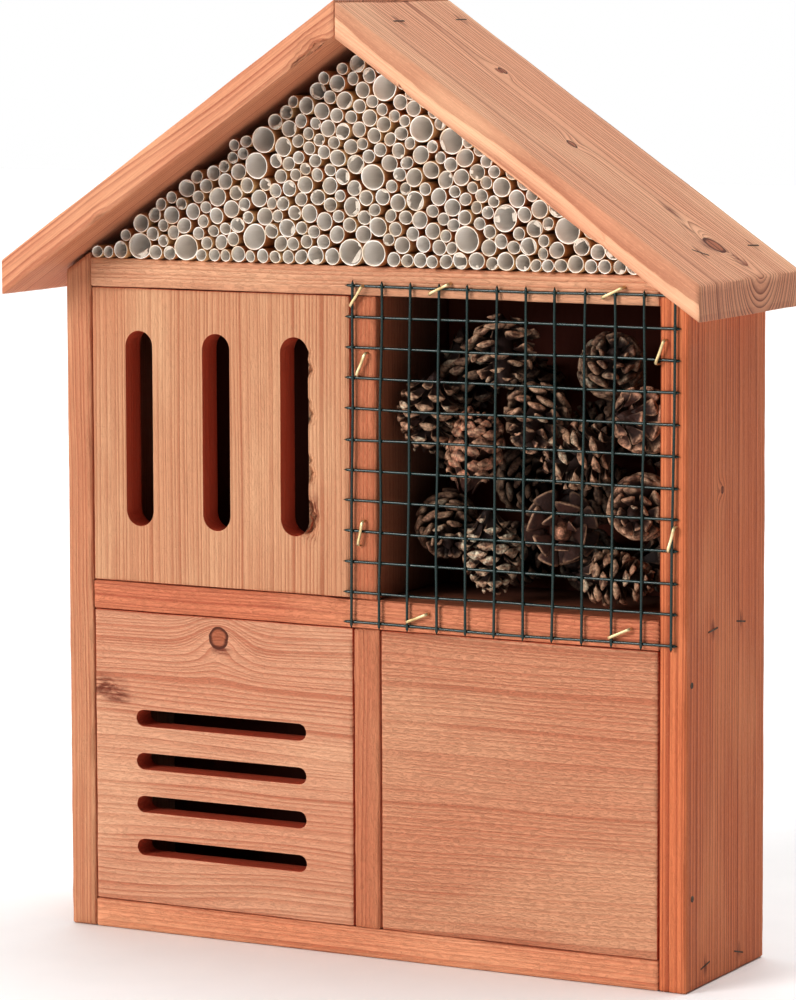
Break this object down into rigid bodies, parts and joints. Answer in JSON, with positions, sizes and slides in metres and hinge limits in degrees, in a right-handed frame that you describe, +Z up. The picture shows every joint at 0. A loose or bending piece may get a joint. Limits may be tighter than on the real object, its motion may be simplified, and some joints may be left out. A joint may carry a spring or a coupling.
{
  "type": "insect hotel",
  "caption": "Gabled timber insect hotel: reeds in the gable, a slotted butterfly chamber, a slotted lacewing chamber, pine cones behind wire mesh and a closed store.",
  "frame": {"origin": "centre of the object's box, on the underside of the body", "axes": "+Z up, -Y out of the front, +X to the right seen from the front"},
  "size_m": [0.317, 0.1006, 0.3898],
  "materials": {
    "larch_frame": "planed, untreated, eased edges",
    "larch_roof": "planed, untreated, knots",
    "larch_panel": "sawn and lightly sanded",
    "plywood": "plain sanded plywood",
    "coated_wire": "dark green coating on steel wire",
    "brass_wire": "dull gilt staple wire",
    "steel_fasteners": "dull galvanized wire",
    "zinc_plate": "bright zinc-plated sheet",
    "reed": "cut natural reed and cane",
    "cone_scale": "dry woody scales"
  },
  "bodies": {
    "root": {"left_side": "larch_frame", "right_side": "larch_frame", "bottom_board": "larch_frame", "middle_shelf": "larch_frame", "gable_floor": "larch_frame", "upper_post": "larch_frame", "lower_post": "larch_frame", "left_roof_board": "larch_roof", "right_roof_board": "larch_roof", "back_panel": "plywood", "butterfly_panel": "larch_panel", "lacewing_panel": "larch_panel", "plain_panel": "larch_panel", "mesh_uprights": "coated_wire", "mesh_crosswires": "coated_wire", "mesh_staples": "brass_wire", "roof_staples": "steel_fasteners", "frame_staples": "steel_fasteners", "panel_pins": "steel_fasteners", "back_nails": "steel_fasteners", "hanger_plate": "zinc_plate", "hanger_screws": "zinc_plate", "reeds_thin": "reed", "reeds_medium": "reed", "reeds_wide": "reed", "pine_cone_01": "cone_scale", "pine_cone_02": "cone_scale", "pine_cone_03": "cone_scale", "pine_cone_04": "cone_scale", "pine_cone_05": "cone_scale", "pine_cone_06": "cone_scale", "pine_cone_07": "cone_scale", "pine_cone_08": "cone_scale", "pine_cone_09": "cone_scale", "pine_cone_10": "cone_scale", "pine_cone_11": "cone_scale", "pine_cone_12": "cone_scale", "pine_cone_13": "cone_scale", "pine_cone_14": "cone_scale", "pine_cone_15": "cone_scale", "pine_cone_16": "cone_scale", "pine_cone_17": "cone_scale", "pine_cone_18": "cone_scale", "pine_cone_19": "cone_scale", "pine_cone_20": "cone_scale", "pine_cone_21": "cone_scale", "pine_cone_22": "cone_scale"}
  },
  "joints": []
}
